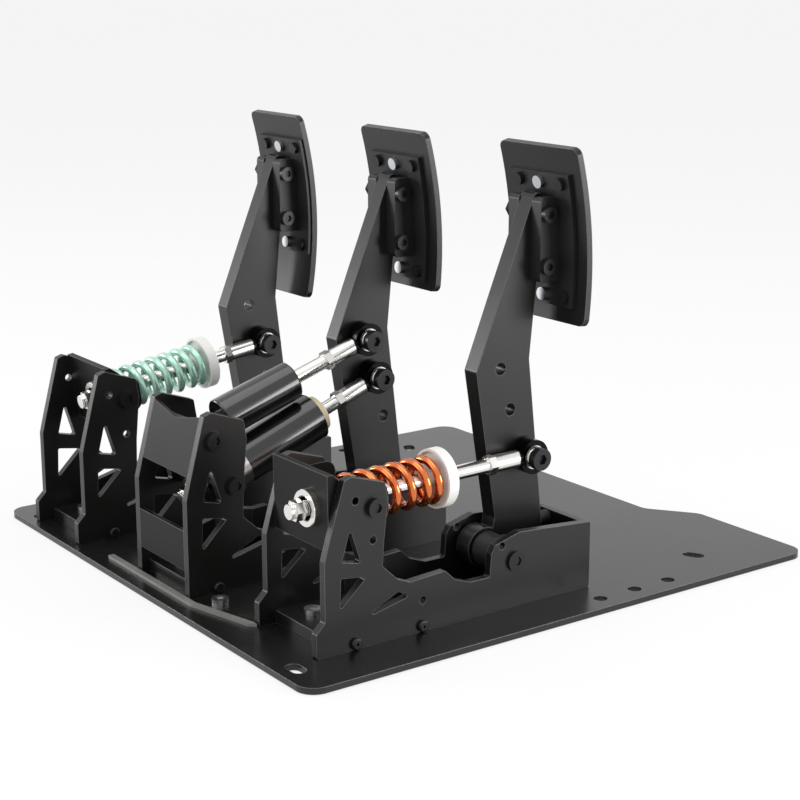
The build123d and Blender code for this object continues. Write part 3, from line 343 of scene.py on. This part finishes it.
def strut_frame(strut):
    """The strut's axis as a matrix: X stays X, Z runs to the rear, in metres."""
    x, front, rear = strut
    along = Vector((0, rear[0] - front[0], rear[1] - front[1]))
    span = along.length
    along.normalize()
    side = along.cross(Vector((1, 0, 0)))
    turn = Matrix((Vector((1, 0, 0)), side, along)).transposed().to_4x4()
    pin = Matrix.Translation(Vector((x, front[0], front[1])) * MM)
    return pin @ turn @ Matrix.Scale(MM, 4), along, span


HALF_TURN_STEPS = 16


def helix(start, end, radius, coils, closed):
    """Centre line of a coil with closed ends, in strut millimetres, its pitch eased by cubic steps."""
    halves = 2 * coils
    open_pitch = (end - start - 2 * closed) / (coils - 2)
    pitches = [closed if i < 2 or i >= halves - 2 else open_pitch for i in range(halves)]
    spots = [start]
    for pitch in pitches:
        spots.append(spots[-1] + pitch / 2)
    slopes = [pitches[0] / 2] + [(a + b) / 4 for a, b in zip(pitches, pitches[1:])] + [pitches[-1] / 2]
    points = []
    for i in range(halves):
        for k in range(HALF_TURN_STEPS):
            t = k / HALF_TURN_STEPS
            z = ((2 * t ** 3 - 3 * t ** 2 + 1) * spots[i] + (t ** 3 - 2 * t ** 2 + t) * slopes[i]
                 + (3 * t ** 2 - 2 * t ** 3) * spots[i + 1] + (t ** 3 - t ** 2) * slopes[i + 1])
            a = math.pi * (i + t)
            points.append((radius * math.cos(a), radius * math.sin(a), z))
    a = math.pi * halves
    points.append((radius * math.cos(a), radius * math.sin(a), end))
    return points


# The two coil springs, wound as their CAD solids are, and squeezed between cup and yoke. Each has its
# strut, its cup's face, its finish, its travel and how far its yoke's web stands behind the rear pin
SPRING_R = 12.9
WIRE_R = 2.6
WIRE_SIDES = 16
COILS = 8
CLOSED_PITCH = 5.9
END_GAP = 0.3
CLUTCH_REACH = 25.0
THROTTLE_REACH = 6.0
springs = {"clutch": (CLUTCH_STRUT, 75.0, orange_wire, 16.45, CLUTCH_REACH),
           "throttle": (THROTTLE_STRUT, 54.0, mint_wire, 23.83, THROTTLE_REACH)}
for unit, (strut, cup_face, material, travel, reach) in springs.items():
    place, along, span = strut_frame(strut)
    web = span + reach
    line = helix(cup_face + END_GAP + WIRE_R, web - END_GAP - WIRE_R, SPRING_R, COILS, CLOSED_PITCH)
    spring = wire_piece(f"{unit}_coil_spring", [place @ Vector(p) for p in line], WIRE_R, WIRE_SIDES,
                        material)
    finished(spring, f"{unit}_spring", material)
    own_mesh(spring)


LATHE_STEPS = 64
CREASE = math.radians(30)


def lathe(name, strut, rings, material):
    """Closed rings turned on a strut's axis; each ring is a list of (radius, along) in millimetres."""
    place, _, _ = strut_frame(strut)
    shape = bmesh.new()
    round_way = [2 * math.pi * k / LATHE_STEPS for k in range(LATHE_STEPS)]
    for ring in rings:
        rows = []
        for r, z in ring:
            rows.append([shape.verts.new(place @ Vector((r * math.cos(a), r * math.sin(a), z)))
                         for a in round_way])
        for a, b in zip(rows, rows[1:] + rows[:1]):
            for k in range(LATHE_STEPS):
                after = (k + 1) % LATHE_STEPS
                shape.faces.new((a[k], a[after], b[after], b[k]))
    bmesh.ops.recalc_face_normals(shape, faces=shape.faces)
    for face in shape.faces:
        face.smooth = True
    for edge in shape.edges:
        edge.smooth = edge.calc_face_angle(0) < CREASE
    mesh = bpy.data.meshes.new(name)
    shape.to_mesh(mesh)
    shape.free()
    piece = bpy.data.objects.new(name, mesh)
    bpy.context.scene.collection.objects.link(piece)
    dress(piece, material)
    return piece


# Brake strut: three barrelled elastomers with washers between them, and the pusher in the tube's mouth
BORE_R = 5.5
ELASTOMER_R = 11.8
STACK_START = 53.6
STACK_END = 114.7
WASHER_T = 2.0
PIECES = 3
PIECE_L = (STACK_END - STACK_START - (PIECES - 1) * WASHER_T) / PIECES
BARREL = 0.5
BARREL_STEPS = 8
CORNER_IN = 1.4
CORNER_L = 0.8
WASHER_GAP = 0.05
WASHER_CORNER = 0.2
WASHER_EDGE = 0.3
place, along, brake_span = strut_frame(BRAKE_STRUT)
barrels = []
washers = []
for i in range(PIECES):
    z0 = STACK_START + i * (PIECE_L + WASHER_T)
    z1 = z0 + PIECE_L
    waist_r = ELASTOMER_R - BARREL
    profile = [(BORE_R, z0), (ELASTOMER_R - CORNER_IN, z0), (waist_r, z0 + CORNER_L)]
    profile += [(waist_r + BARREL * math.sin(math.pi * k / BARREL_STEPS),
                 z0 + CORNER_L + (PIECE_L - 2 * CORNER_L) * k / BARREL_STEPS)
                for k in range(1, BARREL_STEPS)]
    profile += [(waist_r, z1 - CORNER_L), (ELASTOMER_R - CORNER_IN, z1), (BORE_R, z1)]
    barrels.append(profile)
    if i < PIECES - 1:
        near = z1 + WASHER_GAP
        far = z1 + WASHER_T - WASHER_GAP
        washers.append([(BORE_R, near), (ELASTOMER_R - WASHER_CORNER, near), (ELASTOMER_R, z1 + WASHER_EDGE),
                        (ELASTOMER_R, z1 + WASHER_T - WASHER_EDGE), (ELASTOMER_R - WASHER_CORNER, far),
                        (BORE_R, far)])
for name, node, rings, material in (
        ("brake_elastomer_stack", "brake_elastomers", barrels, cream_elastomer),
        ("brake_stack_washers", "brake_elastomer_washers", washers, stainless)):
    stack = finished(lathe(name, BRAKE_STRUT, rings, material), node, material)
    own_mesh(stack)
# The pusher's section as (radius, along), from its bore out and back
PUSHER = [(4.55, 47.3), (9.0, 47.3), (12.0, 49.0), (12.0, 53.2), (4.55, 53.2)]
pusher = lathe("brake_cream_pusher", BRAKE_STRUT, [PUSHER], cream_elastomer)
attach(pusher, "brake_plunger")


# Rolled threads where nuts run: on the rear ends of the three sliding rods
THREAD_PITCH = 1.25
THREAD_R = 0.42
THREAD_SIDES = 6
THREAD_TURN_STEPS = 20
ROD_R = 4.5
THREAD_SUNK = 0.12


def thread(name, strut, start, end, body):
    """A rolled thread as one fine ridge wound round a rod."""
    place, _, _ = strut_frame(strut)
    turns = (end - start) / THREAD_PITCH
    count = int(turns * THREAD_TURN_STEPS)
    ridge_r = ROD_R - THREAD_SUNK
    points = [place @ Vector((ridge_r * math.cos(2 * math.pi * turns * k / count),
                              ridge_r * math.sin(2 * math.pi * turns * k / count),
                              start + (end - start) * k / count)) for k in range(count + 1)]
    piece = wire_piece(name, points, THREAD_R, THREAD_SIDES, bright_nickel)
    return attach(piece, body)


_, _, clutch_span = strut_frame(CLUTCH_STRUT)
_, _, throttle_span = strut_frame(THROTTLE_STRUT)
WEB_T = 4.0
RING_T = 4.0
CLUTCH_THREAD_L = 14.5
THROTTLE_THREAD_L = 13.5
BRAKE_THREAD = (9, 27.5)
clutch_ring = clutch_span + CLUTCH_REACH + WEB_T
throttle_ring = throttle_span + THROTTLE_REACH + WEB_T
thread("clutch_rod_thread", CLUTCH_STRUT, clutch_ring, clutch_ring + CLUTCH_THREAD_L, "clutch_rod")
thread("throttle_rod_thread", THROTTLE_STRUT, throttle_ring, throttle_ring + THROTTLE_THREAD_L,
       "throttle_rod")
thread("brake_plunger_thread", BRAKE_STRUT, brake_span + BRAKE_THREAD[0], brake_span + BRAKE_THREAD[1],
       "brake_plunger")

# Bright turned sleeves over the yokes' rings: bore, outside and skirt radii, and small steps
SLEEVE_BORE_R = 7.4
SLEEVE_R = 11.3
SKIRT_R = 10.9
SLEEVE_T = 0.4
SLEEVE_CORNER = 0.5
BORE_CORNER = 0.4
FOOT_GAP = 0.1
for unit, strut, start in (("clutch", CLUTCH_STRUT, clutch_ring),
                           ("throttle", THROTTLE_STRUT, throttle_ring)):
    end = start + RING_T + SLEEVE_T
    section = [(SLEEVE_BORE_R, end - SLEEVE_CORNER), (SLEEVE_BORE_R + BORE_CORNER, end),
               (SLEEVE_R - SLEEVE_CORNER, end), (SLEEVE_R, end - SLEEVE_CORNER),
               (SLEEVE_R, start + FOOT_GAP), (SKIRT_R, start + FOOT_GAP),
               (SKIRT_R, end - SLEEVE_T), (SLEEVE_BORE_R, end - SLEEVE_T)]
    sleeve = lathe(f"{unit}_ring_sleeve", strut, [section], bright_nickel)
    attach(sleeve, f"{unit}_yoke")


def white_rays(tree):
    """1 for a camera, glossy or transmission ray, and 0 for any other."""
    path = add(tree, "ShaderNodeLightPath")
    seen = add(tree, "ShaderNodeMath", {"operation": "MAXIMUM"},
               links={0: path.outputs["Is Camera Ray"], 1: path.outputs["Is Glossy Ray"]})
    seen = add(tree, "ShaderNodeMath", {"operation": "MAXIMUM"},
               links={0: seen.outputs["Value"], 1: path.outputs["Is Transmission Ray"]})
    return seen.outputs["Value"]


# Stage: a plain pale floor that stays white to the eye but keeps the shadow
FLOOR_HALF = 30.0
FLOOR_DROP = 0.0005
GLOW_SHARE = 0.75
FILL_STRENGTH = 0.7
WHITE = (1, 1, 1, 1)
bpy.ops.mesh.primitive_plane_add(size=2 * FLOOR_HALF, location=(0, 0, -FLOOR_DROP))
floor = bpy.context.object
floor.name = "studio_floor"
paper = bpy.data.materials.new("white_studio_paper")
paper.use_nodes = True
tree = paper.node_tree
tree.nodes.clear()
share = add(tree, "ShaderNodeMath", {"operation": "MULTIPLY"}, links={0: white_rays(tree)})
share.inputs[1].default_value = GLOW_SHARE
diffuse = add(tree, "ShaderNodeBsdfDiffuse", values={"Color": linear("#f4f4f4")})
glow = add(tree, "ShaderNodeEmission", values={"Color": WHITE, "Strength": 1.0})
both = add(tree, "ShaderNodeMixShader", links={0: share.outputs["Value"], 1: diffuse.outputs["BSDF"],
                                               2: glow.outputs["Emission"]})
add(tree, "ShaderNodeOutputMaterial", links={"Surface": both.outputs["Shader"]})
dress(floor, paper)

# World: white to the eye and in reflections, a softer grey as fill light
world = bpy.data.worlds.new("studio")
bpy.context.scene.world = world
world.use_nodes = True
tree = world.node_tree
tree.nodes.clear()
strength = add(tree, "ShaderNodeMapRange", values={"To Min": FILL_STRENGTH, "To Max": 1.0},
               links={"Value": white_rays(tree)})
sky = add(tree, "ShaderNodeBackground", values={"Color": WHITE},
          links={"Strength": strength.outputs["Result"]})
add(tree, "ShaderNodeOutputWorld", links={"Surface": sky.outputs["Background"]})


def softbox(name, place, target, size, power):
    """A square soft lamp aimed at a point: metres and watts."""
    lamp = bpy.data.lights.new(name, "AREA")
    lamp.shape = "SQUARE"
    lamp.size = size
    lamp.energy = power
    holder = bpy.data.objects.new(name, lamp)
    bpy.context.scene.collection.objects.link(holder)
    holder.location = place
    holder.rotation_mode = "QUATERNION"
    holder.rotation_quaternion = (Vector(target) - Vector(place)).to_track_quat("-Z", "Y")


softbox("overhead_softbox", (-0.2, 0.3, 1.6), (0, 0, 0.1), 1.4, 9.0)
softbox("rear_softbox", (0.2, 1.9, 1.0), (0, 0.1, 0.12), 0.9, 5.0)
softbox("left_softbox", (-1.6, -1.0, 0.3), (-0.1, 0.05, 0.1), 0.9, 22.0)
softbox("rim_softbox", (1.6, 1.35, 0.45), (0, 0.15, 0.1), 0.5, 11.0)

camera_data = bpy.data.cameras.new("camera")
camera_data.lens = CAMERA_LENS
camera_data.sensor_width = SENSOR_W
camera_data.clip_start = CLIP_START
camera_data.clip_end = CLIP_END
camera = bpy.data.objects.new("camera", camera_data)
bpy.context.scene.collection.objects.link(camera)
camera.location = CAMERA_EYE
camera.rotation_mode = "QUATERNION"
camera.rotation_quaternion = (-Vector(CAMERA_BACK)).to_track_quat("-Z", "Y")
bpy.context.scene.camera = camera
bpy.context.scene.view_settings.view_transform = "Standard"
